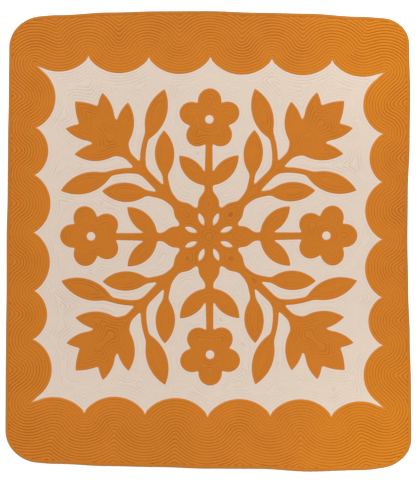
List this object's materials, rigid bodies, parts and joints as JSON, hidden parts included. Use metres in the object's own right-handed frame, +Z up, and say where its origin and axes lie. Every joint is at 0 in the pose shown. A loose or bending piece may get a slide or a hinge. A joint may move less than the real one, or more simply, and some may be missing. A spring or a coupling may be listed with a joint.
{
  "type": "hawaiian quilt",
  "caption": "Flat bed quilt with round corners: cream ground, scalloped orange border, one-piece symmetric orange centre of blossoms and leaves, echo quilting, narrow binding.",
  "frame": {"origin": "on the floor, under the middle of the laid-out quilt", "axes": "+Z up out of the quilt's face, +Y along its longer sides to the top edge, +X to the right edge"},
  "size_m": [2.03, 2.3028, 0.007],
  "materials": {
    "cream_cotton": "plain woven cotton, washed and matt, puffed between rows of hand quilting",
    "orange_cotton": "plain woven cotton dyed golden orange, matt, puffed between rows of hand quilting",
    "orange_binding": "plain woven cotton strip folded round the edge, matt, a little rounded"
  },
  "bodies": {
    "root": {"quilted_ground": "cream_cotton", "border_applique": "orange_cotton", "centre_applique": "orange_cotton", "edge_binding": "orange_binding"}
  },
  "joints": []
}
